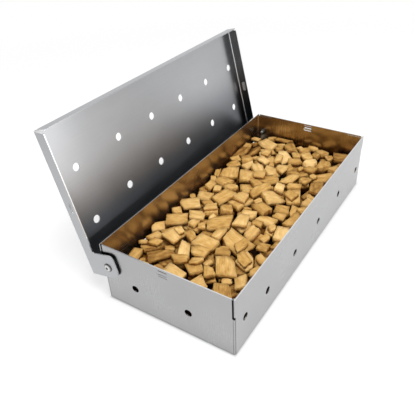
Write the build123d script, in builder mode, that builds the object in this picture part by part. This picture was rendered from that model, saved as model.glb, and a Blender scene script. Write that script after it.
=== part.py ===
from build123d import *
import os

import numpy as np

# Smoker box: folded steel tray, riveted swinging lid and a filling of wood chips.
# Millimetres. X runs along the box, the lid hinges at the +Y wall, +Z is up.
# The origin is the middle of the tray's underside. The lid is drawn standing open.

# Tray sheet
tray_length = 228.0
tray_width = 104.0
tray_height = 49.0
tray_sheet = 0.8
tray_bend_radius = 1.5
tray_inner_radius = 0.6
floor_bend_share = 0.9

# Tray corners: tabs inside the end walls, an open slit above a relief notch, a hairline seam below it
corner_tab_width = 14.0
corner_tab_drop = 1.2
corner_tab_foot = 4.0
slit_width = 1.3
near_slit_depth = 15.5
far_slit_depth = 11.0
notch_radius = 1.3
notch_inset_share = 0.7
seam_width = 0.3
seam_depth = 0.35

# Vent holes
tray_vent_radius = 2.75
tray_vent_height = 20.5
tray_vent_start = -71.0
tray_vent_pitch = 43.5
near_vent_x = -101.5
near_vent_height = 24.5
end_vent_height = 20.2
end_vent_back = 25.5
end_vent_front = -17.5
lid_vent_radius = 2.9
lid_vent_rows = (-67.5, -31.0)
lid_vent_starts = (-53.0, -57.5)
lid_vent_pitch = 39.0
near_lid_vent_rows = (-65.4, -24.8)
near_lid_vent_x = -97.0
regular_vents = 5

# Catch: two lips pressed out under each end rim between three slots, and a dimple in each lid flange
catch_drop = 4.0
lips_length = 9.6
lips_width = 4.6
lips_height = 0.5
lips_crest_length = 7.8
lips_crest_width = 1.5
catch_slot_length = 7.0
catch_slot_width = 0.9
catch_slit_width = 0.6
catch_slit_offset = 2.3
dimple_length = 8.6
dimple_width = 3.2
dimple_depth = 0.7

# Lid
lid_sheet = 0.8
lid_bend_radius = 0.75
lid_inner_radius = 0.5
lid_bend_limit = 0.95
lid_seam_gap = 0.3
lid_flange_depth = 8.8
flange_tip_radius = 0.4
lid_front_clearance = 1.3
lid_corner_gap = 1.8
rim_clearance = 0.45
lid_open_angle = 103.0
lid_closed_extra = 0.9
edge_tolerance = 0.01

# Hinge: pivot measured from the back wall and from the rim, ears on the lid's end flanges
pivot_inset = 6.5
pivot_drop = 16.5
ear_offset = 1.5
ear_front = 10.3
ear_rear = 8.6
ear_foot = 8.0
ear_front_radius = 3.5
ear_rear_radius = 7.0
ear_root_radius = 1.0

# Blind rivets, mandrels and spacer washers
rivet_radius = 1.6
rivet_hole_clearance = 0.08
rivet_head_radius = 3.25
rivet_head_height = 1.1
rivet_head_gap = 0.08
rivet_core_radius = 0.95
rivet_head_edge = 0.25
rivet_mouth_chamfer = 0.15
rivet_tail_radius = 2.6
rivet_tail_length = 2.8
rivet_tail_lip = 0.6
rivet_tail_swell = 0.5
rivet_tail_taper_share = 0.3
rivet_dome_height_share = 0.8
rivet_dome_radius_share = 0.62
mandrel_clearance = 0.05
mandrel_head_radius = 1.45
mandrel_head_length = 1.5
mandrel_chamfer = 0.5
mandrel_recess = 0.35
washer_radius = 3.6
washer_play = 0.08

# Wood chips
fill_drop = 17.0
fill_heap = 3.5
bed_wall_gap = 4.0
bed_drop = 13.0
bed_chamfer = 3.0
slab_share = 0.45
slab_length = (13.0, 19.5)
slab_width = (9.0, 13.5)
slab_thickness = (3.0, 5.2)
block_share = 0.35
block_length = (9.5, 15.5)
block_width = (7.0, 11.0)
block_thickness = (4.0, 7.0)
crumb_length = (7.0, 11.0)
crumb_width = (5.0, 8.0)
crumb_thickness = (2.8, 5.0)
chip_taper = (1.0, 9.0)
chip_skew = 0.16
chip_broken_share = 0.22
chip_break = (0.15, 0.45)
chip_last_size = 0.55
chip_flip_share = 0.5
chip_usual_tilt = 22.0
chip_steepest_tilt = 48.0
chip_wall_gap = 0.5
chip_tail_gap = 1.5
chip_grid = 0.5
chip_skin = 0.36
chip_hollow_cost = 0.5
chip_spare_cells = 2
chip_level_limit = 1e-6
chip_places = 260
chip_turns = 9
chip_misses = 56
chip_seed = 6

os.makedirs("parts", exist_ok=True)

# Values that several pieces share
pivot_y = tray_width / 2 - pivot_inset
pivot_z = tray_height - pivot_drop
panel_low = float(np.hypot(pivot_inset, pivot_drop)) + rim_clearance
panel_middle = panel_low + lid_sheet / 2
panel_top = panel_low + lid_sheet
lid_front = tray_width - pivot_inset + lid_front_clearance + lid_sheet
lid_half = tray_length / 2 + ear_offset + lid_sheet
flange_edge = panel_top - lid_flange_depth
catch_height = tray_height - catch_drop
tray_vents = [(tray_vent_start + tray_vent_pitch * i, tray_vent_height) for i in range(regular_vents)]
tray_vents.append((near_vent_x, near_vent_height))
lid_vents = [(near_lid_vent_x, row) for row in near_lid_vent_rows]
for start, row in zip(lid_vent_starts, lid_vent_rows):
    lid_vents += [(start + lid_vent_pitch * i, row) for i in range(regular_vents)]

# The lid's own frame: X along the pivots, Y towards the rear edge and Z out of the panel, origin on the axis
open_turn = np.radians(lid_open_angle)
hinge_plane = Plane(
    origin=(0, pivot_y, pivot_z),
    x_dir=(1, 0, 0),
    z_dir=(0, float(np.sin(open_turn)), float(np.cos(open_turn))),
)


def flange_plane(x: float) -> Plane:
    """Plane square to the hinge axis at x, with the lid's own Y and Z as its two directions."""
    return Plane(
        origin=hinge_plane.from_local_coords((x, 0, 0)),
        x_dir=hinge_plane.y_dir,
        z_dir=hinge_plane.x_dir,
    )


def end_plane(x: float) -> Plane:
    """Upright plane square to the box's length at x, with Y and Z as its two directions."""
    return Plane(origin=(x, 0, 0), x_dir=(0, 1, 0), z_dir=(1, 0, 0))


def on_bend(edge: Edge, skin: float) -> bool:
    """True for an edge along one of the lid's three bends, skin deep in from its outer corner."""
    at = hinge_plane.to_local_coords(edge.center())
    at_end = abs(abs(at.X) - lid_half + skin) < edge_tolerance and edge.length > lid_front / 2
    at_front = abs(at.Y + lid_front - skin) < edge_tolerance and edge.length > lid_half
    return abs(at.Z - panel_top + skin) < edge_tolerance and (at_end or at_front)


# Tray
inner_length = tray_length - 2 * tray_sheet
inner_width = tray_width - 2 * tray_sheet

with BuildPart() as tray:
    with BuildSketch():
        RectangleRounded(tray_length, tray_width, tray_bend_radius)
    extrude(amount=tray_height)
    fillet(tray.edges().group_by(Axis.Z)[0], tray_bend_radius * floor_bend_share)
    with BuildSketch(Plane.XY.offset(tray_sheet)):
        RectangleRounded(inner_length, inner_width, tray_inner_radius)
    extrude(amount=tray_height, mode=Mode.SUBTRACT)
    fillet(tray.edges(Select.LAST).group_by(Axis.Z)[0], tray_inner_radius * floor_bend_share)

    # Corner tabs folded in behind the end walls
    tab_top = tray_height - corner_tab_drop
    tab_x = tray_length / 2 - tray_sheet - tray_sheet / 2
    tab_y = tray_width / 2 - tray_sheet / 2 - corner_tab_width / 2
    with BuildSketch(Plane.XY.offset(corner_tab_foot)):
        for side in (-1, 1):
            with Locations((side * tab_x, tab_y), (side * tab_x, -tab_y)):
                Rectangle(tray_sheet, corner_tab_width)
    extrude(amount=tab_top - corner_tab_foot)

    # Corners: square with an open slit above the relief notch, rounded with a seam below it
    corner_x = (tray_length - tray_bend_radius) / 2
    corner_y = (tray_width - tray_bend_radius) / 2
    for side, slit_depth in ((-1, near_slit_depth), (1, far_slit_depth)):
        notch_z = tray_height - slit_depth
        outer_x = side * tray_length / 2
        for wall in (-1, 1):
            with BuildSketch(Plane.XY.offset(notch_z)):
                with Locations((side * corner_x, wall * corner_y)):
                    Rectangle(tray_bend_radius, tray_bend_radius)
            extrude(amount=slit_depth)
            slit_y = wall * (tray_width / 2 - tray_sheet - slit_width / 2)
            with BuildSketch(end_plane(outer_x)):
                with Locations((slit_y, notch_z + slit_depth / 2)):
                    Rectangle(slit_width, slit_depth)
                with Locations((wall * (tray_width / 2 - notch_radius * notch_inset_share), notch_z)):
                    Circle(notch_radius)
            extrude(amount=-side * tray_sheet, mode=Mode.SUBTRACT)
            with BuildSketch(end_plane(outer_x)):
                with Locations((slit_y, notch_z / 2)):
                    Rectangle(seam_width, notch_z)
            extrude(amount=-side * seam_depth, mode=Mode.SUBTRACT)

    # Vent holes through the long walls and through the end walls
    with BuildSketch(Plane.XZ):
        with Locations(*tray_vents):
            Circle(tray_vent_radius)
    extrude(amount=tray_width, both=True, mode=Mode.SUBTRACT)
    with BuildSketch(Plane.YZ):
        with Locations((end_vent_back, end_vent_height), (end_vent_front, end_vent_height)):
            Circle(tray_vent_radius)
        with Locations((pivot_y, pivot_z)):
            Circle(rivet_radius + rivet_hole_clearance)
    extrude(amount=tray_length, both=True, mode=Mode.SUBTRACT)

    # Catch lips pressed out of the end walls, hollow behind, the slot along their crest and a slit past each
    for side in (-1, 1):
        for skin, mode in ((0, Mode.ADD), (tray_sheet, Mode.SUBTRACT)):
            with BuildSketch(end_plane(side * (tray_length / 2 - skin))):
                with Locations((0, catch_height)):
                    SlotOverall(lips_length, lips_width)
            with BuildSketch(end_plane(side * (tray_length / 2 - skin + lips_height))):
                with Locations((0, catch_height)):
                    SlotOverall(lips_crest_length, lips_crest_width)
            loft(mode=mode)
    with BuildSketch(Plane.YZ):
        with Locations((0, catch_height)):
            SlotOverall(catch_slot_length, catch_slot_width)
        with Locations((0, catch_height - catch_slit_offset), (0, catch_height + catch_slit_offset)):
            SlotOverall(catch_slot_length, catch_slit_width)
    extrude(amount=tray_length, both=True, mode=Mode.SUBTRACT)

tray.part.label = "tray"
export_step(tray.part, "parts/tray.step")

# Lid
with BuildPart() as lid:
    # Panel
    with BuildSketch(hinge_plane.offset(panel_low)):
        with Locations((0, (ear_rear - lid_front) / 2)):
            Rectangle(2 * lid_half, lid_front + ear_rear)
    extrude(amount=lid_sheet)

    # End flanges, each with its hinge ear
    for side in (-1, 1):
        with BuildSketch(flange_plane(side * lid_half)):
            with BuildLine():
                FilletPolyline(
                    (-lid_front + lid_sheet / 2, panel_middle),
                    (-lid_front + lid_corner_gap + lid_sheet / 2, flange_edge),
                    (-ear_front, flange_edge),
                    (-ear_front, -ear_foot),
                    (ear_rear, -ear_foot),
                    (ear_rear, panel_middle),
                    radius=(flange_tip_radius, ear_root_radius, ear_front_radius, ear_rear_radius),
                )
                Line(
                    (ear_rear, panel_middle),
                    (-lid_front + lid_sheet / 2, panel_middle),
                )
            make_face()
        extrude(amount=-side * lid_sheet)

    # Front flange
    with BuildSketch(hinge_plane.offset(flange_edge)):
        with Locations((0, -lid_front + lid_sheet / 2)):
            Rectangle(2 * (lid_half - lid_sheet - lid_inner_radius - lid_seam_gap), lid_sheet)
    extrude(amount=panel_top - flange_edge)

    # Bends rounded outside and inside
    bend_radius = min(lid_bend_radius, lid_sheet * lid_bend_limit)
    fillet(lid.edges().filter_by(lambda edge: on_bend(edge, 0)), bend_radius)
    fillet(lid.edges().filter_by(lambda edge: on_bend(edge, lid_sheet)), lid_inner_radius)

    # Vent holes and hinge holes
    with BuildSketch(hinge_plane.offset(panel_low)):
        with Locations(*lid_vents):
            Circle(lid_vent_radius)
    extrude(amount=lid_sheet, mode=Mode.SUBTRACT)
    with BuildSketch(flange_plane(0)):
        Circle(rivet_radius + rivet_hole_clearance)
    extrude(amount=lid_half, both=True, mode=Mode.SUBTRACT)

    # Catch dimples pressed inwards
    dimple_turn = np.radians(lid_closed_extra)
    dimple_y = -pivot_y * np.cos(dimple_turn) + (catch_height - pivot_z) * np.sin(dimple_turn)
    dimple_z = (catch_height - pivot_z) * np.cos(dimple_turn) + pivot_y * np.sin(dimple_turn)
    for side in (-1, 1):
        with BuildSketch(flange_plane(side * (lid_half - lid_sheet))):
            with Locations((dimple_y, dimple_z)):
                SlotOverall(dimple_length, dimple_width)
        extrude(amount=-side * dimple_depth)
        with BuildSketch(flange_plane(side * lid_half)):
            with Locations((dimple_y, dimple_z)):
                SlotOverall(dimple_length - lid_sheet, dimple_width - lid_sheet)
        extrude(amount=-side * dimple_depth, mode=Mode.SUBTRACT)

lid.part.label = "lid"
export_step(lid.part, "parts/lid.step")

# Blind rivets, drawn in the half plane of their own axis and turned round it
wall_out = tray_length / 2
tail_seat = wall_out - 2 * tray_sheet
head_seat = lid_half + rivet_head_gap
head_top = head_seat + rivet_head_height
rivet_end = tail_seat - rivet_tail_length
tail_taper = rivet_tail_length * rivet_tail_taper_share
mandrel_end = rivet_end - mandrel_head_length
mandrel_radius = rivet_core_radius - mandrel_clearance


def pin_plane(side: int) -> Plane:
    """Plane through one pivot, with X outwards along the pivot as its first direction."""
    return Plane(origin=(0, pivot_y, pivot_z), x_dir=(side, 0, 0), z_dir=(0, -side, 0))


pin_axis = Axis((0, pivot_y, pivot_z), (1, 0, 0))

with BuildPart() as hinge_rivets:
    for side in (-1, 1):
        with BuildSketch(pin_plane(side)):
            with BuildLine():
                Polyline(
                    (rivet_end, rivet_core_radius),
                    (rivet_end, rivet_core_radius + rivet_tail_lip),
                    (rivet_end + tail_taper, rivet_tail_radius),
                    (tail_seat - tail_taper, rivet_tail_radius),
                    (tail_seat, rivet_radius + rivet_tail_swell),
                    (tail_seat, rivet_radius),
                    (head_seat, rivet_radius),
                    (head_seat, rivet_head_radius),
                    (head_seat + rivet_head_edge, rivet_head_radius),
                )
                ThreePointArc(
                    (head_seat + rivet_head_edge, rivet_head_radius),
                    (
                        head_seat + rivet_head_height * rivet_dome_height_share,
                        rivet_head_radius * rivet_dome_radius_share,
                    ),
                    (head_top, rivet_core_radius + rivet_mouth_chamfer),
                )
                Polyline(
                    (head_top, rivet_core_radius + rivet_mouth_chamfer),
                    (head_top - rivet_mouth_chamfer, rivet_core_radius),
                    (rivet_end, rivet_core_radius),
                )
            make_face()
        revolve(axis=pin_axis)

hinge_rivets.part.label = "hinge_rivets"
export_step(hinge_rivets.part, "parts/hinge_rivets.step")

# Mandrels left in the rivets
with BuildPart() as rivet_mandrels:
    for side in (-1, 1):
        with BuildSketch(pin_plane(side)):
            with BuildLine():
                Polyline(
                    (mandrel_end, 0),
                    (mandrel_end, mandrel_head_radius - mandrel_chamfer),
                    (mandrel_end + mandrel_chamfer, mandrel_head_radius),
                    (rivet_end - mandrel_clearance, mandrel_head_radius),
                    (rivet_end - mandrel_clearance, mandrel_radius),
                    (head_top - mandrel_recess, mandrel_radius),
                    (head_top - mandrel_recess - mandrel_clearance, 0),
                    close=True,
                )
            make_face()
        revolve(axis=pin_axis)

rivet_mandrels.part.label = "rivet_mandrels"
export_step(rivet_mandrels.part, "parts/rivet_mandrels.step")

# Spacer washers between the ears and the end walls
with BuildPart() as spacer_washers:
    for side in (-1, 1):
        with BuildSketch(end_plane(side * wall_out)):
            with Locations((pivot_y, pivot_z)):
                Circle(washer_radius)
                Circle(rivet_radius + rivet_hole_clearance, mode=Mode.SUBTRACT)
        extrude(amount=side * (ear_offset - washer_play))

spacer_washers.part.label = "spacer_washers"
export_step(spacer_washers.part, "parts/spacer_washers.step")

# Block that stands for the hidden lower chips
fill_level = tray_height - fill_drop
bed_top = fill_level - bed_drop
bed_length = inner_length - 2 * tray_sheet - 2 * bed_wall_gap
bed_width = inner_width - 2 * bed_wall_gap

with BuildPart() as chip_bed:
    with BuildSketch(Plane.XY.offset(tray_sheet)):
        Rectangle(bed_length, bed_width)
    extrude(amount=bed_top - tray_sheet)
    chamfer(chip_bed.faces().sort_by(Axis.Z)[-1].edges(), bed_chamfer)

chip_bed.part.label = "chip_bed"
export_step(chip_bed.part, "parts/chip_bed.step")


# Wood chips: tapered slabs, blocks and crumbs that settle one by one on the bed and on each other
chip_kinds = (
    (slab_length, slab_width, slab_thickness),
    (block_length, block_width, block_thickness),
    (crumb_length, crumb_width, crumb_thickness),
)
kind_shares = (slab_share, block_share, 1 - slab_share - block_share)


def chip_outline(rng: np.random.Generator, length: float, width: float) -> np.ndarray:
    """Corner points of one chip's face: a four-sided outline, often with corners broken off."""
    corners = np.array([(-1, -1), (1, -1), (1, 1), (-1, 1)]) * (length / 2, width / 2)
    corners = corners + rng.uniform(-chip_skew, chip_skew, (4, 2)) * (length, width)
    for k in np.flatnonzero(rng.random(4) < chip_broken_share)[::-1]:
        here, before, after = corners[k], corners[k - 1], corners[(k + 1) % len(corners)]
        first = here + (before - here) * rng.uniform(*chip_break)
        second = here + (after - here) * rng.uniform(*chip_break)
        corners = np.vstack([corners[:k], first, second, corners[k + 1:]])
    return corners


def chip_walls(outline: np.ndarray, thickness: float, taper: float) -> tuple[np.ndarray, np.ndarray]:
    """Outward normals and distances of a chip's faces, with its middle plane at zero height."""
    along = np.roll(outline, -1, axis=0) - outline
    out = np.stack([along[:, 1], -along[:, 0]], axis=1) / np.linalg.norm(along, axis=1)[:, None]
    lean = np.radians(taper)
    sides = np.column_stack([out * np.cos(lean), np.full(len(out), np.sin(lean))])
    feet = np.column_stack([outline, np.full(len(outline), -thickness / 2)])
    normals = np.vstack([sides, (0, 0, 1), (0, 0, -1)])
    reach = np.concatenate([np.sum(sides * feet, axis=1), [thickness / 2, thickness / 2]])
    return normals, reach


def turned(yaw: float, tilt: float, lean_way: float) -> np.ndarray:
    """Rotation matrix of a chip: turned by yaw, then tilted about a level line at lean_way."""
    c, s = np.cos(yaw), np.sin(yaw)
    spin = np.array([(c, -s, 0), (s, c, 0), (0, 0, 1)])
    k = np.array([np.cos(lean_way), np.sin(lean_way), 0])
    cross = np.array([(0, -k[2], k[1]), (k[2], 0, -k[0]), (-k[1], k[0], 0)])
    return (np.eye(3) + np.sin(tilt) * cross + (1 - np.cos(tilt)) * cross @ cross) @ spin


def chip_shadow(normals: np.ndarray, reach: np.ndarray, reach_cells: int) -> tuple[np.ndarray, np.ndarray]:
    """Lowest and highest point of a chip over each grid cell round its middle, nan outside it."""
    steps = np.arange(-reach_cells, reach_cells + 1) * chip_grid
    gx, gy = np.meshgrid(steps, steps, indexing="ij")
    nx, ny, nz = normals.T
    level = (reach + chip_skin)[:, None, None] - nx[:, None, None] * gx - ny[:, None, None] * gy
    nz = np.where(np.abs(nz) < chip_level_limit, chip_level_limit, nz)[:, None, None]
    height = level / nz
    top = np.min(np.where(nz > 0, height, np.inf), axis=0)
    low = np.max(np.where(nz < 0, height, -np.inf), axis=0)
    empty = top <= low
    return np.where(empty, np.nan, low), np.where(empty, np.nan, top)


def empty_ground(gx: np.ndarray, gy: np.ndarray) -> np.ndarray:
    """Height under the chips at each grid cell: the bed, the tray's floor, and no room by the rivet tails."""
    on_bed = (abs(gx) < bed_length / 2) & (abs(gy) < bed_width / 2)
    ground = np.where(on_bed, bed_top, tray_sheet)
    tail_reach = rivet_tail_radius + chip_tail_gap
    by_tail = (abs(gx) > mandrel_end - chip_tail_gap) & (abs(gy - pivot_y) < tail_reach)
    no_room = 2 * tray_height
    ground[by_tail & (pivot_z + tail_reach > bed_top)] = no_room
    return ground


def settle_chips() -> list[tuple[Plane, np.ndarray, float, float]]:
    """Places chips, each where it lies lowest and closest, until none fits under the fill level."""
    rng = np.random.default_rng(chip_seed)
    half_x = inner_length / 2 - tray_sheet - chip_wall_gap
    half_y = inner_width / 2 - chip_wall_gap
    xs = np.arange(-half_x, half_x, chip_grid)
    ys = np.arange(-half_y, half_y, chip_grid)
    gx, gy = np.meshgrid(xs, ys, indexing="ij")
    ground = empty_ground(gx, gy)
    heap = fill_level + fill_heap * np.cos(gx / half_x * np.pi / 2) * np.cos(gy / half_y * np.pi / 2)
    longest = max(length[1] for length, _, _ in chip_kinds)
    widest = max(width[1] for _, width, _ in chip_kinds)
    cells = int(np.ceil(np.hypot(longest, widest) * (1 / 2 + chip_skew) / chip_grid)) + chip_spare_cells
    placed = []
    misses = 0
    while misses < chip_misses:
        size = 1 - (1 - chip_last_size) * misses / chip_misses
        length, width, thickness = (
            rng.uniform(*span) * size for span in chip_kinds[rng.choice(len(chip_kinds), p=kind_shares)]
        )
        outline = chip_outline(rng, length, width)
        taper = rng.uniform(*chip_taper)
        normals, reach = chip_walls(outline, thickness, taper)
        best = None
        for _ in range(chip_turns):
            yaw, lean_way = rng.uniform(0, 2 * np.pi, 2)
            spin = turned(yaw, np.radians(rng.triangular(0, chip_usual_tilt, chip_steepest_tilt)), lean_way)
            if rng.random() < chip_flip_share:
                spin = spin @ np.diag((1.0, -1.0, -1.0))
            low, top = chip_shadow(normals @ spin.T, reach, cells)
            inside = ~np.isnan(low)
            rows, cols = np.nonzero(inside)
            low, top = low[inside], top[inside]
            i = rng.integers(-rows.min(), len(xs) - rows.max(), chip_places)
            j = rng.integers(-cols.min(), len(ys) - cols.max(), chip_places)
            under = ground[rows + i[:, None], cols + j[:, None]]
            rest = np.max(under - low, axis=1)
            room = heap[i + cells, j + cells] - rest - np.max(top)
            hollow = np.mean(rest[:, None] + low - under, axis=1)
            score = np.where(room > 0, room - chip_hollow_cost * hollow, -np.inf)
            k = int(np.argmax(score))
            if room[k] > 0 and (best is None or score[k] > best[0]):
                best = (score[k], rest[k], i[k], j[k], spin, rows, cols, top)
        if best is None:
            misses += 1
            continue
        misses = max(0, misses - 1)
        _, rest, i, j, spin, rows, cols, top = best
        ground[rows + i, cols + j] = rest + top
        middle = np.array([xs[i + cells], ys[j + cells], rest])
        foot = middle - spin[:, 2] * thickness / 2
        place = Plane(tuple(foot), x_dir=tuple(spin[:, 0]), z_dir=tuple(spin[:, 2]))
        placed.append((place, outline, thickness, taper))
    return placed


def chip_solid(place: Plane, outline: np.ndarray, thickness: float, taper: float) -> Solid:
    """One chip as a tapered block on its own tilted plane."""
    with BuildPart() as chip:
        with BuildSketch(place):
            Polygon(*[tuple(p) for p in outline], align=None)
        extrude(amount=thickness, taper=taper)
    return chip.part.solid()


wood_chips = Compound([chip_solid(*chip) for chip in settle_chips()])
wood_chips.label = "wood_chips"
export_step(wood_chips, "parts/wood_chips.step")
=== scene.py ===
"""Smoker box: a folded stainless tray with a riveted lid standing open, filled with wood chips.

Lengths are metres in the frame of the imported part: X along the box, +Y the hinge wall, +Z up.
"""

import logging
import math
from dataclasses import dataclass, field
from enum import Enum
from itertools import combinations

import bpy
import numpy as np
from mathutils import Matrix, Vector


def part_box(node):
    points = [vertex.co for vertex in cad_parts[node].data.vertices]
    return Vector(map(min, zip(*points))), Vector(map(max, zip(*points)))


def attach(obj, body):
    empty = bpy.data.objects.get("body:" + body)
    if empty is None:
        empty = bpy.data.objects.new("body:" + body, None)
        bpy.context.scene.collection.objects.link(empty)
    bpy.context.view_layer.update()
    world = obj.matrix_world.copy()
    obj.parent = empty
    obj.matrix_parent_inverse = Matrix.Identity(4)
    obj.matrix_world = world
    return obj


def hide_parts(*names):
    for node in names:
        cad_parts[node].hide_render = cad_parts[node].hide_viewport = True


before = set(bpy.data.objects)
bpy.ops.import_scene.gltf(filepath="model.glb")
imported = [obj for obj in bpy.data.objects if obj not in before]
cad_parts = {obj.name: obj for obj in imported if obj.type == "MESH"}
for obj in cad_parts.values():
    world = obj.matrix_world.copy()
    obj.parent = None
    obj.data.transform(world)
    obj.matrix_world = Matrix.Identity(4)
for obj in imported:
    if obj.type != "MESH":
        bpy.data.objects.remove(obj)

log = logging.getLogger("smoker_box")
MM = 0.001
# Points that round to the same step are one point, and corners within a level step share a flat face
MERGE_STEP = 0.001 * MM
LEVEL_STEP = 0.05 * MM
# Cosines that a face's direction has to pass to count as parallel, a flat end, a rim or an end wall
PARALLEL = 0.99999
FLAT_END = 0.97
RIM_FACE = 0.9
END_FACE = 0.7
NOISE_MIDDLE = 0.5


def grey(level: float) -> tuple[float, float, float, float]:
    """Returns an opaque grey of one level."""
    return (level, level, level, 1.0)


class Grain(Enum):
    """Which way the brush marks of a steel piece run where it isn't an end wall.

    The values scale the noise along the box, across it and up: the least is the way the marks run.
    """

    ALONG = (0.02, 1.0, 1.0)
    ROUND = (1.0, 1.0, 1.0)


class NodeGraph:
    """Adds and links the shader nodes of one material."""

    def __init__(self, name: str) -> None:
        """Starts a material with a Principled shader.

        Args:
            name: the material's name.
        """
        self.material = bpy.data.materials.new(name)
        self.material.use_nodes = True
        self.tree = self.material.node_tree
        self.shader = self.tree.nodes["Principled BSDF"]
        self.output = self.tree.nodes["Material Output"]

    def add(
        self, kind: str, settings: dict | None = None, *values: object, **sockets: object,
    ) -> bpy.types.Node:
        """Adds a node, sets its properties and fills or links its input sockets.

        Args:
            kind: the node's type without the ShaderNode prefix.
            settings: node properties by name.
            values: input values of the first sockets in order; a socket as value is linked.
            sockets: input values by socket name, with _ for a blank.

        Returns:
            The new node.
        """
        node = self.tree.nodes.new("ShaderNode" + kind)
        for key, value in (settings or {}).items():
            setattr(node, key, value)
        for place, value in enumerate(values):
            self.put(node.inputs[place], value)
        for key, value in sockets.items():
            self.put(node.inputs[key.replace("_", " ")], value)
        return node

    def put(self, socket: bpy.types.NodeSocket, value: object) -> None:
        """Links a socket to another socket, or sets its own value.

        Args:
            socket: the input to fill.
            value: an output to link to it, or a plain value.
        """
        if isinstance(value, bpy.types.NodeSocket):
            self.tree.links.new(value, socket)
        else:
            socket.default_value = value

    def math(self, operation: str, a: object, b: object = 0.0, clamp: bool = False) -> bpy.types.NodeSocket:
        """Adds one Math node and returns its result."""
        return self.add("Math", {"operation": operation, "use_clamp": clamp}, a, b).outputs[0]

    def mix(self, factor: object, a: object, b: object) -> bpy.types.NodeSocket:
        """Adds a colour mix, which serves for vectors too, and returns its result."""
        return self.add("MixRGB", None, factor, a, b).outputs[0]

    def part(self, vector: bpy.types.NodeSocket, axis: str) -> bpy.types.NodeSocket:
        """Returns one component of a vector."""
        return self.add("SeparateXYZ", Vector=vector).outputs[axis]

    def size(self, vector: bpy.types.NodeSocket, axis: str) -> bpy.types.NodeSocket:
        """Returns one component of a vector without its sign."""
        return self.math("ABSOLUTE", self.part(vector, axis))

    def above(self, value: bpy.types.NodeSocket, limit: float) -> bpy.types.NodeSocket:
        """Returns 1 where a value is over a limit, and 0 elsewhere."""
        return self.math("GREATER_THAN", value, limit)

    def both(self, a: bpy.types.NodeSocket, b: bpy.types.NodeSocket) -> bpy.types.NodeSocket:
        """Returns the product of two shares, which is 1 only where both are."""
        return self.math("MULTIPLY", a, b)

    def outward(self, place: bpy.types.bpy_prop_collection) -> bpy.types.NodeSocket:
        """Returns a point's place times its normal along the box, over 0 on faces that look outward."""
        return self.math("MULTIPLY", self.part(place["Normal"], "X"), self.part(place["Object"], "X"))

    def blend(self, *shares: tuple[bpy.types.NodeSocket, float]) -> bpy.types.NodeSocket:
        """Adds up values, each times its share.

        Args:
            shares: pairs of a value and its share.

        Returns:
            The sum.
        """
        total, *others = [self.math("MULTIPLY", value, share) for value, share in shares]
        for other in others:
            total = self.math("ADD", total, other)
        return total

    def span(
        self, value: bpy.types.NodeSocket, source: tuple[float, float], result: tuple[float, float],
        shape: str = "LINEAR",
    ) -> bpy.types.NodeSocket:
        """Maps one span of values onto another, and stays flat past its ends.

        Args:
            value: what is mapped.
            source: the values at the two ends of the span.
            result: what they become.
            shape: the interpolation between them.

        Returns:
            The mapped value.
        """
        return self.add(
            "MapRange", {"interpolation_type": shape}, Value=value,
            From_Min=source[0], From_Max=source[1], To_Min=result[0], To_Max=result[1],
        ).outputs[0]

    def ramp(self, factor: bpy.types.NodeSocket, stops: list[tuple[float, tuple]]) -> bpy.types.NodeSocket:
        """Adds a colour ramp and returns its colour.

        Args:
            factor: what the ramp reads.
            stops: position and linear colour of the lowest stop, the highest, and any between them.

        Returns:
            The ramp's colour output.
        """
        node = self.add("ValToRGB", Fac=factor)
        elements = node.color_ramp.elements
        for k, (position, colour) in enumerate(stops):
            stop = elements[k] if k < 2 else elements.new(position)
            stop.position = position
            stop.color = (*colour, 1.0)
        return node.outputs["Color"]

    def noise(self, vector: bpy.types.NodeSocket, size: float, detail: float) -> bpy.types.NodeSocket:
        """Adds noise with lumps of one size on a vector and returns its factor."""
        return self.add("TexNoise", Vector=vector, Scale=1 / size, Detail=detail).outputs[0]


@dataclass(frozen=True)
class PaintedTint:
    """Painted tint on the inner faces of a folded sheet: full up to one height, gone at another. On the lid
    it is painted shade, darker towards the hinge, and on the tray a warm painted reflection of the chips.

    Flat ends past end_place along the box have a second tint over it, a painted shade.
    """

    tint: tuple[float, float, float]
    full_level: float
    clear_level: float
    end_tint: tuple[float, float, float] = (1.0, 1.0, 1.0)
    end_place: float = 0.0
    inner_limit: float = -20 * MM

    def cover(
        self, g: NodeGraph, place: bpy.types.bpy_prop_collection, colour: bpy.types.NodeSocket,
    ) -> bpy.types.NodeSocket:
        """Tints a colour on the inner faces.

        A face looks inward where its normal, across and along the box, points back over the middle.

        Args:
            g: the material's graph.
            place: the outputs of its texture coordinates.
            colour: the clean colour.

        Returns:
            The tinted colour.
        """
        level = g.add("Mapping", Vector=place["Object"], Scale=(1.0, 1.0, 0.0)).outputs[0]
        outward = g.add("VectorMath", {"operation": "DOT_PRODUCT"}, place["Normal"], level).outputs["Value"]
        inner = g.math("LESS_THAN", outward, self.inner_limit)
        height = g.part(place["Object"], "Z")
        painted_share = g.span(height, (self.full_level, self.clear_level), (1.0, 0.0), "SMOOTHSTEP")
        flat_end = g.above(g.size(place["Normal"], "X"), FLAT_END)
        ends = g.both(flat_end, g.above(g.size(place["Object"], "X"), self.end_place))
        for share, tint in ((painted_share, self.tint), (ends, self.end_tint)):
            there = g.both(inner, share)
            colour = g.add("MixRGB", {"blend_type": "MULTIPLY"}, there, colour, (*tint, 1.0)).outputs[0]
        return colour


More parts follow.
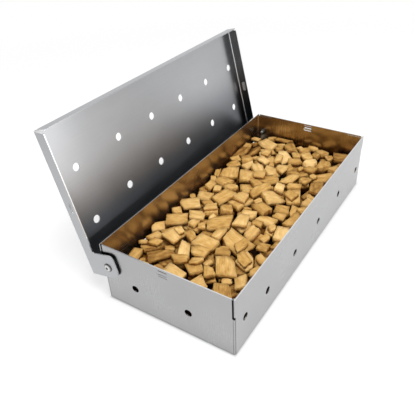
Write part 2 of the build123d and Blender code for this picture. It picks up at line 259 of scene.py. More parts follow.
@dataclass(frozen=True)
class BrushedSteel:
    """Satin stainless sheet: fine brush marks that draw reflections out, and a slightly wavy surface.

    Some pieces have painted light and shade in their colour. Painted shade, near black, shows behind the
    corner slits, on faces at the first slit value along the box and past the second across it. Rims above
    rim_level have a painted highlight. So does all that lies past the first edge value along the box, but
    for the flat ends past the second. So do inner faces past both corner values. A rivet head has painted
    shade where it slopes down to its seat.
    """

    name: str
    colour: tuple[float, float, float] = (0.385, 0.385, 0.389)
    roughness: float = 0.26
    roughness_spread: float = 0.03
    roughness_range: tuple[float, float] = (0.3, 0.7)
    anisotropy: float = 0.6
    grain: Grain = Grain.ALONG
    grain_size: float = 0.4 * MM
    cloud_size: float = 30 * MM
    mark_share: float = 0.4
    tone_spread: float = 0.04
    tone_range: tuple[float, float] = (0.35, 0.65)
    wave_size: float = 70 * MM
    wave_height: float = 1.2 * MM
    wave_strength: float = 0.5
    mark_height: float = 0.002 * MM
    mark_depth: float = 0.06
    painted_tint: PaintedTint | None = None
    # Near-black colour of the painted shade behind the corner slits and at the rivet seats
    painted_shade_colour: tuple[float, float, float] = (0.012, 0.011, 0.01)
    slits: tuple[float, float] | None = None
    slit_tolerance: float = 0.25 * MM
    # Levels of the painted highlights on the rims, the lid's edges and the inner corner bends
    rim_level: float | None = None
    rim_highlight: float = 0.7
    edges: tuple[float, float] | None = None
    edge_highlight: float = 0.85
    corners: tuple[float, float] | None = None
    # Painted shade at a rivet head's seat
    seat_painted_shade: float = 0.0
    seat_slope: tuple[float, float] = (0.96, 0.86)

    def build(self) -> bpy.types.Material:
        """Makes the material.

        Brush marks are noise stretched along the sheet, turned upright on the end walls. With broad
        clouds they shade the colour and roughness a little, and the reflections spread across them. Two
        bumps follow: a long low wave, and the marks.

        Returns:
            The finished material.
        """
        g = NodeGraph(self.name)
        place = g.add("TexCoord").outputs
        upright = g.above(g.size(place["Normal"], "X"), END_FACE)
        along, across, high = self.grain.value
        flat = g.add("Mapping", Vector=place["Object"], Scale=(along, across, high)).outputs[0]
        turned = g.add("Mapping", Vector=place["Object"], Scale=(high, across, along)).outputs[0]
        marks = g.noise(g.mix(upright, flat, turned), self.grain_size, detail=3.0)
        clouds = g.noise(place["Object"], self.cloud_size, detail=2.0)
        shade = g.blend((marks, self.mark_share), (clouds, 1 - self.mark_share))
        tones = [tuple(c * (1 + way * self.tone_spread) for c in self.colour) for way in (-1, 1)]
        plain = g.ramp(shade, list(zip(self.tone_range, tones)))
        g.put(g.shader.inputs["Base Color"], self.painted_light_and_shade(g, place, plain))
        dull = g.span(
            shade, self.roughness_range,
            (self.roughness - self.roughness_spread, self.roughness + self.roughness_spread),
        )
        g.put(g.shader.inputs["Roughness"], dull)
        wave = g.noise(place["Object"], self.wave_size, detail=0.0)
        bent = g.add("Bump", Height=wave, Distance=self.wave_height, Strength=self.wave_strength).outputs[0]
        brushed = g.add(
            "Bump", Height=marks, Distance=self.mark_height, Strength=self.mark_depth, Normal=bent,
        )
        g.put(g.shader.inputs["Normal"], brushed.outputs[0])
        g.shader.inputs["Metallic"].default_value = 1.0
        if self.grain is Grain.ALONG:
            g.shader.inputs["Anisotropic"].default_value = self.anisotropy
            g.put(g.shader.inputs["Tangent"], g.mix(upright, (0.0, 0.0, 1.0, 1.0), (0.0, 1.0, 0.0, 1.0)))
        return g.material

    def painted_light_and_shade(
        self, g: NodeGraph, place: bpy.types.bpy_prop_collection, colour: bpy.types.NodeSocket,
    ) -> bpy.types.NodeSocket:
        """Lays painted shade, painted tints and painted highlights over a colour, each where asked for.

        Args:
            g: the material's graph.
            place: the outputs of its texture coordinates.
            colour: the plain steel's colour.

        Returns:
            The finished colour.
        """
        # Painted shade: near-black colour on the faces seen through the tray's corner slits
        if self.slits:
            behind = g.math("COMPARE", g.size(place["Object"], "X"), self.slits[0])
            behind.node.inputs[2].default_value = self.slit_tolerance
            at_side = g.above(g.size(place["Object"], "Y"), self.slits[1])
            facing_out = g.above(g.outward(place), self.slits[0] / 2)
            colour = g.mix(g.both(g.both(behind, at_side), facing_out), colour, (*self.painted_shade_colour, 1.0))
        if self.painted_tint:
            colour = self.painted_tint.cover(g, place, colour)
        # Painted highlight: whiter colour on the rims' top faces, over their real reflections
        if self.rim_level:
            facing_up = g.above(g.part(place["Normal"], "Z"), RIM_FACE)
            at_top = g.above(g.part(place["Object"], "Z"), self.rim_level)
            colour = g.mix(g.both(facing_up, at_top), colour, grey(self.rim_highlight))
        # Painted highlight: whiter colour on the lid's bends and flange edges, but not on its flat ends
        if self.edges:
            reach = g.size(place["Object"], "X")
            flat_end = g.both(g.above(g.size(place["Normal"], "X"), FLAT_END), g.above(reach, self.edges[1]))
            highlighted = g.math("SUBTRACT", g.above(reach, self.edges[0]), flat_end, clamp=True)
            colour = g.mix(highlighted, colour, grey(self.edge_highlight))
        # Painted highlight: whiter colour on the inner faces at the tray's corner bends
        if self.corners:
            behind = g.above(g.size(place["Object"], "X"), self.corners[0])
            at_side = g.above(g.size(place["Object"], "Y"), self.corners[1])
            facing_in = g.math("LESS_THAN", g.outward(place), -self.corners[0] / 2)
            colour = g.mix(g.both(g.both(behind, at_side), facing_in), colour, grey(self.edge_highlight))
        # Painted shade: the rivet head's colour goes near black where it slopes down to its seat
        if self.seat_painted_shade:
            sloping = g.span(g.size(place["Normal"], "X"), self.seat_slope, (0.0, self.seat_painted_shade))
            colour = g.mix(sloping, colour, (*self.painted_shade_colour, 1.0))
        return colour


@dataclass(frozen=True)
class Figure:
    """One layer of a wood's figure: noise of one size, stretched along the fibre."""

    size: float
    stretch: tuple[float, float, float]
    detail: float
    share: float

    def draw(self, g: NodeGraph, fibre: bpy.types.NodeSocket) -> bpy.types.NodeSocket:
        """Adds the layer to a graph and returns its value."""
        return g.noise(g.add("Mapping", Vector=fibre, Scale=self.stretch).outputs[0], self.size, self.detail)


@dataclass(frozen=True)
class ChipWood:
    """Rough split wood: straight grain in each chip's own direction and a tone of its own."""

    name: str
    dark: tuple[float, float, float] = (0.17, 0.065, 0.01)
    middle: tuple[float, float, float] = (0.54, 0.31, 0.088)
    light: tuple[float, float, float] = (0.86, 0.59, 0.25)
    tone_places: tuple[float, float, float] = (0.05, 0.45, 0.95)
    rings: Figure = Figure(1.3 * MM, (0.06, 1.0, 0.8), 3.0, 0.14)
    fibres: Figure = Figure(0.35 * MM, (0.05, 1.0, 1.0), 2.0, 0.28)
    stains: Figure = Figure(3.2 * MM, (0.5, 1.0, 1.0), 5.0, 0.58)
    contrast: float = 1.5
    end_darker: float = 0.2
    deep_level: float = 21 * MM
    lit_level: float = 28.5 * MM
    deep_painted_shade: float = 0.6
    ring_relief: float = 0.5
    torn_height: float = 0.7 * MM
    torn_strength: float = 0.7
    fibre_height: float = 0.2 * MM
    fibre_strength: float = 0.6
    roughness: float = 0.78
    specular: float = 0.12

    def build(self) -> bpy.types.Material:
        """Makes the material.

        The fibre attribute holds each point in its chip's own frame, so noise squeezed along the first
        axis runs as grain and shows as rings and pores on the ends. The tone attribute moves a whole
        chip lighter or darker, sawn ends are darker, and what lies deep in the tray has painted shade.

        Returns:
            The finished material.
        """
        g = NodeGraph(self.name)
        fibre = g.add("Attribute", {"attribute_name": "fibre"}).outputs["Vector"]
        tone = g.add("Attribute", {"attribute_name": "tone"}).outputs["Fac"]
        end_grain = g.add("Attribute", {"attribute_name": "end_grain"}).outputs["Fac"]
        figures = (self.rings, self.fibres, self.stains)
        layers = [figure.draw(g, fibre) for figure in figures]
        rings, fibres, stains = layers
        grain = g.blend(*zip(layers, [figure.share for figure in figures]))
        swing = g.math("MULTIPLY", g.math("SUBTRACT", grain, NOISE_MIDDLE), self.contrast)
        shade = g.math("ADD", swing, tone)
        shade = g.math("SUBTRACT", shade, g.math("MULTIPLY", end_grain, self.end_darker))
        # Painted shade: chips get darker from lit_level down to deep_level
        height = g.part(g.add("TexCoord").outputs["Object"], "Z")
        deep = g.span(height, (self.deep_level, self.lit_level), (self.deep_painted_shade, 0.0))
        shade = g.math("SUBTRACT", shade, deep, clamp=True)
        low, middle, high = zip(self.tone_places, (self.dark, self.middle, self.light))
        g.put(g.shader.inputs["Base Color"], g.ramp(shade, [low, high, middle]))
        lumps = g.math("ADD", g.math("MULTIPLY", rings, self.ring_relief), stains)
        torn = g.add("Bump", Height=lumps, Distance=self.torn_height, Strength=self.torn_strength).outputs[0]
        rough = g.add(
            "Bump", Height=fibres, Distance=self.fibre_height, Strength=self.fibre_strength, Normal=torn,
        )
        g.put(g.shader.inputs["Normal"], rough.outputs[0])
        g.shader.inputs["Roughness"].default_value = self.roughness
        g.shader.inputs["Specular IOR Level"].default_value = self.specular
        return g.material


@dataclass
class Chip:
    """One wood chip: an outline of four to eight corners at its foot and at its face, and its own frame."""

    foot: np.ndarray
    face: np.ndarray
    origin: np.ndarray
    axes: np.ndarray
    thickness: float


def mesh_piece(name: str, points: np.ndarray, faces: np.ndarray, body: str) -> bpy.types.Object:
    """Makes a mesh object in the row frame and lets it ride on a body.

    Args:
        name: the piece's name.
        points: vertex places, one row each.
        faces: rows of four vertex numbers.
        body: the CAD body that carries it.

    Returns:
        The new object.
    """
    mesh = bpy.data.meshes.new(name)
    mesh.vertices.add(len(points))
    mesh.vertices.foreach_set("co", points.astype(np.float32).ravel())
    mesh.loops.add(faces.size)
    mesh.loops.foreach_set("vertex_index", faces.astype(np.int32).ravel())
    mesh.polygons.add(len(faces))
    mesh.polygons.foreach_set("loop_start", np.arange(len(faces), dtype=np.int32) * faces.shape[1])
    mesh.update(calc_edges=True)
    mesh.validate()
    obj = bpy.data.objects.new(name, mesh)
    bpy.context.scene.collection.objects.link(obj)
    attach(obj, body)
    return obj


def corner_labels(points: np.ndarray, triangles: np.ndarray) -> tuple[np.ndarray, np.ndarray, np.ndarray]:
    """Merges the loose triangles of a CAD mesh and labels its separate solids.

    Each merged point starts with its own number as label, and each triangle lowers the labels of its
    corners to their least, until nothing changes.

    Args:
        points: vertex places, with repeats.
        triangles: rows of three vertex numbers.

    Returns:
        The merged points, the triangles on them and a label for each merged point.
    """
    keys = np.round(points / MERGE_STEP).astype(np.int64)
    _, first, merged = np.unique(keys, axis=0, return_index=True, return_inverse=True)
    triangles = merged.reshape(-1)[triangles]
    points = points[first]
    labels = np.arange(len(points))
    changed = True
    while changed:
        least = labels[triangles].min(axis=1)
        lower = labels.copy()
        np.minimum.at(lower, triangles.ravel(), np.repeat(least, 3))
        changed = bool((lower != labels).any())
        labels = lower
    return points, triangles, labels


def ring_order(corners: np.ndarray) -> np.ndarray:
    """Numbers of flat corner points in their order round their middle."""
    at = corners - corners.mean(axis=0)
    return np.argsort(np.arctan2(at[:, 1], at[:, 0]))


def read_chip(points: np.ndarray, triangles: np.ndarray) -> Chip:
    """Finds a packed chip's frame and its two outlines.

    The larger of its two parallel faces is the foot. The chip's third axis points from the foot to the
    face, and its first axis lies along the foot's longest edge.

    Args:
        points: the merged points of the whole mesh.
        triangles: this chip's triangles.

    Returns:
        The chip.
    """
    a, b, c = points[triangles[:, 0]], points[triangles[:, 1]], points[triangles[:, 2]]
    area = np.cross(b - a, c - a) / 2
    size = np.linalg.norm(area, axis=1)
    normals = area / size[:, None]
    facing = normals @ normals.T
    paired = (facing < -PARALLEL).any(axis=1)
    foot_normal = normals[np.argmax((facing > PARALLEL) @ size * paired)]
    corners = points[np.unique(triangles)]
    up = -foot_normal
    height = corners @ up
    at_foot, at_face = height < height.min() + LEVEL_STEP, height > height.max() - LEVEL_STEP
    origin = corners[at_foot].mean(axis=0)
    first = np.linalg.svd(corners[at_foot] - origin)[2][0]
    spread = np.array([first, np.cross(up, first)])
    order = ring_order((corners[at_foot] - origin) @ spread.T)
    edges = np.diff(corners[at_foot][np.append(order, order[0])], axis=0)
    lengths = np.linalg.norm(edges, axis=1)
    along = edges[np.argmax(lengths)] / lengths.max()
    axes = np.array([along, np.cross(up, along), up])
    own = (corners - origin) @ axes.T
    foot, face = own[at_foot][:, :2], own[at_face][:, :2]
    foot, face = foot[ring_order(foot)], face[ring_order(face)]
    shift = int(np.argmin(np.linalg.norm(face - foot[0], axis=1)))
    return Chip(foot, np.roll(face, -shift, axis=0), origin, axes, float(np.ptp(height)))


@dataclass
class ChipCutter:
    """Turns plain chips into torn ones, all with the same grid of faces.

    Pairs are spans that chance picks from, but splinter is its strength along and across the fibre.
    """

    cells: tuple[int, int] = (4, 5)
    sines: int = 3
    ridge: tuple[float, float] = (0.02 * MM, 0.2 * MM)
    waves_across: tuple[float, float] = (0.7, 2.8)
    lean: tuple[float, float] = (-0.03, 0.03)
    splinter: tuple[float, float] = (0.22 * MM, 0.07 * MM)
    own_share: float = 0.5
    swell: float = 0.2 * MM
    roughness: float = 0.04 * MM
    faces: np.ndarray = field(init=False)
    rim: np.ndarray = field(init=False)
    end_faces: np.ndarray = field(init=False)

    def __post_init__(self) -> None:
        """Works out the faces once: a patch at the foot, one at the face, and a band between their rims."""
        nu, nv = self.cells
        grid = np.arange((nu + 1) * (nv + 1)).reshape(nu + 1, nv + 1)
        self.rim = np.concatenate([grid[:-1, 0], grid[-1, :-1], grid[:0:-1, -1], grid[0, :0:-1]])
        cell = np.stack([grid[:-1, :-1], grid[1:, :-1], grid[1:, 1:], grid[:-1, 1:]], axis=-1).reshape(-1, 4)
        below, above = self.rim, grid.size + self.rim
        band = np.stack([below, np.roll(below, -1), np.roll(above, -1), above], axis=-1)
        self.faces = np.vstack([cell[:, ::-1], cell + grid.size, band])
        on_end = np.repeat([False, True, False, True], [nu, nv, nu, nv])
        self.end_faces = np.concatenate([np.zeros(2 * len(cell), bool), on_end])

    @staticmethod
    def main_corners(outline: np.ndarray) -> np.ndarray:
        """Picks the four corners of an outline that span the largest area.

        The area of four corners in order is half the cross product of their two diagonals.

        Args:
            outline: the corner points in order.

        Returns:
            The numbers of the four, with the side that reaches farthest along +X first.
        """
        picks = np.array(list(combinations(range(len(outline)), 4)))
        a, b, c, d = (outline[picks[:, k]] for k in range(4))
        area = (c - a)[:, 0] * (d - b)[:, 1] - (c - a)[:, 1] * (d - b)[:, 0]
        best = picks[np.argmax(area)]
        sides = outline[np.roll(best, -1)] - outline[best]
        return np.roll(best, -int(np.argmax(sides[:, 0])))

    @staticmethod
    def side(corners: np.ndarray, count: int) -> np.ndarray:
        """Cuts one side into equal lengths, and moves the nearest cut onto each corner that it passes.

        Args:
            corners: the side's corner points in order, ends included.
            count: how many lengths.

        Returns:
            The count + 1 points.
        """
        steps = np.linalg.norm(np.diff(corners, axis=0), axis=1)
        share = np.concatenate([[0.0], np.cumsum(steps)]) / steps.sum()
        cuts = np.linspace(0, 1, count + 1)
        nearest = np.clip(np.round(share[1:-1] * count).astype(int), 1, count - 1)
        cuts[nearest] = share[1:-1]
        return np.column_stack([np.interp(cuts, share, corners[:, k]) for k in range(2)])

    def patch(self, outline: np.ndarray, picks: np.ndarray) -> np.ndarray:
        """Fills an outline with a grid of points that blends its four sides.

        A point at shares s and t is the blend of the two long sides at s, plus the blend of the two ends
        at t, minus the blend of the four corners.

        Args:
            outline: the corner points in order.
            picks: the four of them that bound the patch.

        Returns:
            The grid's points, flattened.
        """
        nu, nv = self.cells
        spans = zip(picks, np.roll(picks, -1), (nu, nv, nu, nv))
        runs = [(np.arange(a, a + (b - a) % len(outline) + 1) % len(outline), count) for a, b, count in spans]
        near, right, far, left = (self.side(outline[run], count)[:, None] for run, count in runs)
        far, left = far[::-1], left[::-1]
        right, left = right.swapaxes(0, 1), left.swapaxes(0, 1)
        s = np.linspace(0, 1, nu + 1)[:, None, None]
        t = np.linspace(0, 1, nv + 1)[None, :, None]
        p, q, r, w = outline[picks]
        blend = (1 - t) * near + t * far + (1 - s) * left + s * right
        corners = (1 - s) * (1 - t) * p + s * (1 - t) * q + s * t * r + (1 - s) * t * w
        return (blend - corners).reshape(-1, 2)

    def cut(self, chip: Chip, rng: np.random.Generator) -> tuple[np.ndarray, np.ndarray]:
        """Builds one torn chip.

        Its rims are moved by chance, much along the fibre and little across it, so that the ends
        splinter and the sides stay straight: both rims alike, and then each by a share of its own. Both
        faces rise in ridges along the fibre: the mean of a few sines of the way across, with chance
        lengths and phases, times a chance height.

        Args:
            chip: the plain chip.
            rng: the source of chance.

        Returns:
            The chip's points in the row frame and in its own frame.
        """
        width = np.ptp(chip.foot[:, 1])
        waves = rng.uniform(*self.waves_across, self.sines) * 2 * np.pi / width
        height = rng.uniform(*self.ridge)
        torn = rng.normal(0, 1, (len(self.rim), 2)) * self.splinter
        foot_picks = self.main_corners(chip.foot)
        face_picks = foot_picks if len(chip.face) == len(chip.foot) else self.main_corners(chip.face)
        layers = []
        for outline, picks, level, up in (
            (chip.foot, foot_picks, 0.0, -1), (chip.face, face_picks, chip.thickness, 1),
        ):
            middle = outline.mean(axis=0)
            reach = np.linalg.norm(outline - middle, axis=1).mean()
            flat = self.patch(middle + (outline - middle) * (1 + self.swell / reach), picks)
            phases = rng.uniform(0, 2 * np.pi, self.sines)
            ridges = np.sin(flat[:, 1:2] * waves + phases).mean(axis=1) * height
            lean = (flat - middle) @ rng.uniform(*self.lean, 2)
            flat[self.rim] += torn + rng.normal(0, self.own_share, torn.shape) * self.splinter
            rise = ridges + lean + rng.normal(0, self.roughness, len(flat))
            layers.append(np.column_stack([flat, level + up * rise]))
        own = np.vstack(layers)
        return own @ chip.axes + chip.origin, own


@dataclass
class ChipFill:
    """The wood chips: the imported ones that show, and loose ones under them down to the floor."""

    wood: ChipWood = field(default_factory=lambda: ChipWood("chip_wood"))
    # The loose chips under the imported ones have darker wood and a lower tone: painted shade
    painted_shade_wood: ChipWood = field(default_factory=lambda: ChipWood(
        "bed_wood", dark=(0.02, 0.009, 0.003), middle=(0.14, 0.07, 0.02), light=(0.3, 0.17, 0.06),
    ))
    cutter: ChipCutter = field(default_factory=ChipCutter)
    seed: int = 11
    tone_spread: float = 0.125
    tone_middle: float = 0.53
    tone_limits: tuple[float, float] = (0.1, 0.95)
    fibre_shift: float = 1.0
    lower_painted_shade: float = 0.2
    lower_pitch: tuple[float, float, float] = (12 * MM, 9 * MM, 5 * MM)
    lower_size: tuple[float, float, float] = (14 * MM, 10 * MM, 4.6 * MM)
    lower_jitter: tuple[float, float, float] = (5 * MM, 4 * MM, 1.5 * MM)
    lower_scale: tuple[float, float] = (0.8, 1.1)
    lower_tilt: float = 0.16
    lower_skew: float = 0.1
    lower_taper: float = 0.94

    def build(self) -> None:
        """Makes both groups of chips."""
        rng = np.random.default_rng(self.seed)
        shown = self.group("loose_chips", self.packed_chips(), rng, 0.0, self.wood)
        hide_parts("wood_chips")
        hidden = self.lower_chips(rng)
        lower = self.group("lower_chips", hidden, rng, self.lower_painted_shade, self.painted_shade_wood)
        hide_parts("chip_bed")

    def group(
        self, name: str, chips: list[Chip], rng: np.random.Generator, darker: float,
        wood: ChipWood,
    ) -> bpy.types.Object:
        """Cuts a list of chips into one piece with its grain and tone attributes.

        A chance shift of each chip's own frame gives it a grain that no other chip has.

        Args:
            name: the piece's name.
            chips: the plain chips.
            rng: the source of chance.
            darker: what is taken off every chip's tone, a painted shade on the lower chips.
            wood: its finish.

        Returns:
            The piece.
        """
        points, fibres, tones, faces = [], [], [], []
        for k, chip in enumerate(chips):
            placed, own = self.cutter.cut(chip, rng)
            points.append(placed)
            fibres.append(own + rng.uniform(-self.fibre_shift, self.fibre_shift, 3))
            tone = np.clip(rng.normal(self.tone_middle - darker, self.tone_spread), *self.tone_limits)
            tones.append(np.full(len(placed), tone))
            faces.append(self.cutter.faces + k * len(placed))
        piece = mesh_piece(name, np.vstack(points), np.vstack(faces), "tray")
        fibre = piece.data.attributes.new("fibre", "FLOAT_VECTOR", "POINT")
        fibre.data.foreach_set("vector", np.vstack(fibres).astype(np.float32).ravel())
        tone = piece.data.attributes.new("tone", "FLOAT", "POINT")
        tone.data.foreach_set("value", np.concatenate(tones).astype(np.float32))
        end_grain = piece.data.attributes.new("end_grain", "FLOAT", "FACE")
        end_grain.data.foreach_set("value", np.tile(self.cutter.end_faces, len(chips)).astype(np.float32))
        piece.data.materials.append(wood.build())
        log.info("%s: %d chips, %d faces", name, len(chips), len(piece.data.polygons))
        return piece

    @staticmethod
    def packed_chips() -> list[Chip]:
        """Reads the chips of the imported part.

        Returns:
            The plain chips, always in the same order.
        """
        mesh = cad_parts["wood_chips"].data
        mesh.calc_loop_triangles()
        points = np.zeros(len(mesh.vertices) * 3)
        mesh.vertices.foreach_get("co", points)
        triangles = np.zeros(len(mesh.loop_triangles) * 3, np.int32)
        mesh.loop_triangles.foreach_get("vertices", triangles)
        merged, triangles, labels = corner_labels(points.reshape(-1, 3), triangles.reshape(-1, 3))
        owner = labels[triangles[:, 0]]
        return [read_chip(merged, triangles[owner == label]) for label in np.unique(owner)]

    def lower_chips(self, rng: np.random.Generator) -> list[Chip]:
        """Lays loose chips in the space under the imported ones.

        Chips stand on a grid of steps along, across and up, each moved, turned and tilted by chance, and
        pushed back inside the walls where it would cross them.

        Args:
            rng: the source of chance.

        Returns:
            The plain chips.
        """
        low, high = (np.array(corner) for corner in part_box("chip_bed"))
        room = np.array(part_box("wood_chips")[1])[:2]
        low[:2], high[:2] = -room, room
        size = np.array(self.lower_size)
        counts = np.floor((high - low - size / 2) / self.lower_pitch).astype(int)
        steps = [np.linspace(low[k] + size[k] / 2, high[k] - size[k] / 2, counts[k]) for k in range(3)]
        places = np.stack(np.meshgrid(*steps, indexing="ij"), axis=-1).reshape(-1, 3)
        places = places + rng.uniform(-0.5, 0.5, places.shape) * self.lower_jitter
        return [self.loose_chip(place, low, high, rng) for place in places]

    def loose_chip(
        self, place: np.ndarray, low: np.ndarray, high: np.ndarray, rng: np.random.Generator,
    ) -> Chip:
        """Makes one four-sided chip about a place, turned and slightly tilted by chance.

        Args:
            place: where its middle goes.
            low: the least corner of the room it has to stay in.
            high: the greatest corner of that room.
            rng: the source of chance.

        Returns:
            The plain chip.
        """
        length, width, thickness = rng.uniform(*self.lower_scale, 3) * self.lower_size
        yaw = rng.uniform(0, 2 * np.pi)
        tilt = rng.uniform(0, self.lower_tilt)
        way = rng.uniform(0, 2 * np.pi)
        turn = Matrix.Rotation(tilt, 3, (math.cos(way), math.sin(way), 0)) @ Matrix.Rotation(yaw, 3, "Z")
        axes = np.array(turn).T
        corners = np.array([(-1, -1), (1, -1), (1, 1), (-1, 1)]) * (length / 2, width / 2)
        corners = corners + rng.uniform(-self.lower_skew, self.lower_skew, (4, 2)) * (length, width)
        origin = place - axes[2] * thickness / 2
        reach = np.vstack([corners, corners])
        ends = np.column_stack([reach, np.repeat([0, thickness], 4)]) @ axes + origin
        origin = origin + np.maximum(low - ends.min(axis=0), 0) - np.maximum(ends.max(axis=0) - high, 0)
        return Chip(corners, corners * self.lower_taper, origin, axes, thickness)


@dataclass
class SteelWork:
    """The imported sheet-metal pieces and rivets, each with its own steel."""

    finishes: dict[str, BrushedSteel] = field(default_factory=lambda: {
        "tray": BrushedSteel(
            # Warm tint on the inner faces: a painted reflection of the chips
            "tray_steel", painted_tint=PaintedTint((1.1, 0.86, 0.58), 49 * MM, 80 * MM),
            # Painted shade behind the corner slits, painted highlights on the rims and inner corner bends
            slits=(113.2 * MM, 49.5 * MM), rim_level=48.5 * MM, corners=(112.3 * MM, 50.3 * MM),
        ),
        "lid": BrushedSteel(
            "lid_steel", (0.43, 0.437, 0.45), 0.32, anisotropy=0.85, wave_height=0.6 * MM, mark_depth=0.05,
            # Painted shade: darker towards the hinge, and on the flat ends' inner faces
            painted_tint=PaintedTint((0.3, 0.31, 0.325), 50 * MM, 97 * MM, (0.33, 0.33, 0.33), 115.2 * MM),
            # Painted highlight on the lid's bends and flange edges
            edges=(114.6 * MM, 115.2 * MM),
        ),
        "hinge_rivets": BrushedSteel(
            # Painted shade at the rivet heads' seats
            "rivet_steel", (0.62, 0.62, 0.62), 0.16, grain=Grain.ROUND, wave_height=0.0, seat_painted_shade=0.9,
        ),
        "rivet_mandrels": BrushedSteel(
            "mandrel_steel", (0.3, 0.3, 0.3), 0.5, grain=Grain.ROUND, wave_height=0.0,
        ),
        "spacer_washers": BrushedSteel(
            "washer_steel", (0.5, 0.5, 0.5), 0.35, grain=Grain.ROUND, wave_height=0.0,
        ),
    })

    def dress(self) -> None:
        """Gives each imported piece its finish."""
        for node, finish in self.finishes.items():
            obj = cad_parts[node]
            obj.data.materials.clear()
            obj.data.materials.append(finish.build())
            log.info("%s: %s, %d faces", node, finish.name, len(obj.data.polygons))


@dataclass(frozen=True)
class Lamp:
    """A square area lamp aimed at the middle of the box's foot."""

    name: str
    place: tuple[float, float, float]
    size: float
    power: float

    def hang(self) -> None:
        """Adds the lamp to the scene."""
        data = bpy.data.lights.new(self.name, "AREA")
        data.size = self.size
        data.energy = self.power
        obj = bpy.data.objects.new(self.name, data)
        obj.location = self.place
        towards = -obj.location
        obj.rotation_euler = towards.to_track_quat("-Z", "Y").to_euler()
        bpy.context.scene.collection.objects.link(obj)


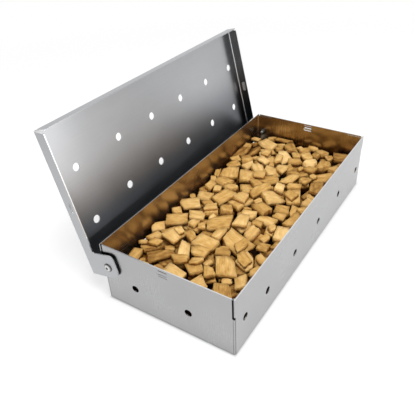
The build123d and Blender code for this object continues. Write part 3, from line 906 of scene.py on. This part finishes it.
@dataclass
class Studio:
    """Pale floor, white surroundings, soft lamps and the camera.

    A contact stop says which share of the floor's white is left at which share of the painted contact shadow.
    """

    floor_half: float = 4.0
    floor_drop: float = 0.3 * MM
    floor_white: float = 0.9
    world_lit: float = 0.4
    floor_lit: float = 0.5
    shadow_reach: float = 0.35
    contact_inset: float = 1.5 * MM
    contact_reach: float = 40 * MM
    painted_shadow_stops: tuple[tuple[float, float], ...] = ((0.0, 0.0), (1.0, 1.0), (0.06, 0.75), (0.3, 0.94))
    lamps: tuple[Lamp, ...] = (
        Lamp("key", (-0.25, -0.35, 0.9), 0.45, 6.4),
        Lamp("side", (0.52, -0.93, 0.35), 0.1, 1.0),
        Lamp("fill", (-0.9, 0.2, 0.6), 0.8, 2.0),
    )
    azimuth: float = -55.892
    elevation: float = 35.332
    roll: float = -3.062
    distance: float = 412.115 * MM
    aside: float = -33.618 * MM
    upward: float = 22.589 * MM
    focal_px: float = 496.743
    picture_px: float = 415.0
    sensor_mm: float = 36.0
    nearest: float = 0.01
    farthest: float = 50.0

    def build(self) -> None:
        """Sets up everything that isn't the object."""
        self.floor()
        self.world()
        for lamp in self.lamps:
            lamp.hang()
        self.camera()
        bpy.context.scene.view_settings.view_transform = "Standard"

    def floor(self) -> None:
        """Lays a pale floor that shows white to the camera and to metal, keeps a soft shadow and paints a
        contact one.
        """
        h, z = self.floor_half, -self.floor_drop
        mesh = bpy.data.meshes.new("floor")
        mesh.from_pydata([(-h, -h, z), (h, -h, z), (h, h, z), (-h, h, z)], [], [(0, 1, 2, 3)])
        obj = bpy.data.objects.new("floor", mesh)
        bpy.context.scene.collection.objects.link(obj)
        g = NodeGraph("floor")
        rays = g.add("LightPath").outputs
        mirrored = g.math("MAXIMUM", rays["Is Glossy Ray"], rays["Is Transmission Ray"])
        seen = g.math("MAXIMUM", rays["Is Camera Ray"], mirrored)
        lit = g.add("BsdfDiffuse", Color=grey(self.floor_white)).outputs[0]
        shadowed = g.add("BsdfDiffuse", Color=grey(self.floor_lit)).outputs[0]
        glow = g.add("Emission", Color=grey(1.0), Strength=1.0 - self.floor_lit).outputs[0]
        dark = g.add("Emission", Color=grey(0.0), Strength=0.0).outputs[0]
        place = g.add("TexCoord").outputs["Object"]
        # Painted contact shadow: the floor's glow fades to dark at the tray's outline
        glow = g.add("MixShader", None, self.contact(g, place), dark, glow).outputs[0]
        white = g.add("AddShader", None, shadowed, glow).outputs[0]
        away = g.add("VectorMath", {"operation": "LENGTH"}, place).outputs["Value"]
        fade = g.span(away, (self.shadow_reach, 2 * self.shadow_reach), (0.0, 1.0))
        blank = g.add("Emission", Color=grey(1.0), Strength=1.0).outputs[0]
        white = g.add("MixShader", None, fade, white, blank).outputs[0]
        g.put(g.output.inputs["Surface"], g.add("MixShader", None, seen, lit, white).outputs[0])
        mesh.materials.append(g.material)

    def contact(self, g: NodeGraph, place: bpy.types.NodeSocket) -> bpy.types.NodeSocket:
        """Works out how much of the floor's white is left near the tray, as a painted contact shadow.

        The way to the tray's outline is the larger of the ways past its end and past its side. Nothing is
        left under it, most of it right beside it, and all of it where the painted contact shadow ends.

        Args:
            g: the floor's graph.
            place: the floor's own coordinates.

        Returns:
            The share of white.
        """
        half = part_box("tray")[1]
        past = [
            g.math("SUBTRACT", g.size(place, axis), half[k] - self.contact_inset)
            for k, axis in enumerate("XY")
        ]
        share = g.math("DIVIDE", g.math("MAXIMUM", *past), self.contact_reach, clamp=True)
        return g.ramp(share, [(at, (white,) * 3) for at, white in self.painted_shadow_stops])

    def world(self) -> None:
        """Surrounds the object with soft light that shows white to the camera."""
        world = bpy.data.worlds.new("studio")
        bpy.context.scene.world = world
        world.use_nodes = True
        tree = world.node_tree
        rays = tree.nodes.new("ShaderNodeLightPath").outputs
        seen = None
        for name in ("Is Camera Ray", "Is Glossy Ray", "Is Transmission Ray"):
            either = tree.nodes.new("ShaderNodeMath")
            either.operation = "MAXIMUM"
            tree.links.new(rays[name], either.inputs[0])
            if seen is not None:
                tree.links.new(seen, either.inputs[1])
            seen = either.outputs[0]
        shown = tree.nodes.new("ShaderNodeMixRGB")
        shown.inputs[1].default_value = grey(self.world_lit)
        shown.inputs[2].default_value = grey(1.0)
        tree.links.new(seen, shown.inputs[0])
        tree.links.new(shown.outputs[0], tree.nodes["Background"].inputs["Color"])

    def camera(self) -> None:
        """Places the camera: on a circle round the box at its angles, moved aside and up, then rolled."""
        a, e, r = (math.radians(v) for v in (self.azimuth, self.elevation, self.roll))
        back = np.array([math.sin(a) * math.cos(e), -math.cos(a) * math.cos(e), math.sin(e)])
        right = np.array([math.cos(a), math.sin(a), 0.0])
        up = np.cross(back, right)
        eye = back * self.distance + right * self.aside + up * self.upward
        across = math.cos(r) * right + math.sin(r) * up
        rising = -math.sin(r) * right + math.cos(r) * up
        data = bpy.data.cameras.new("camera")
        data.sensor_width = self.sensor_mm
        data.lens = self.focal_px / self.picture_px * self.sensor_mm
        data.clip_start, data.clip_end = self.nearest, self.farthest
        obj = bpy.data.objects.new("camera", data)
        rows = [[across[k], rising[k], back[k], eye[k]] for k in range(3)]
        obj.matrix_world = Matrix([*rows, [0, 0, 0, 1]])
        bpy.context.scene.collection.objects.link(obj)
        bpy.context.scene.camera = obj


def main() -> None:
    """Builds the smoker box and its studio."""
    logging.basicConfig(level=logging.INFO, format="%(name)s: %(message)s")
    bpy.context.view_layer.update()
    SteelWork().dress()
    ChipFill().build()
    Studio().build()


if __name__ == "__main__":
    main()
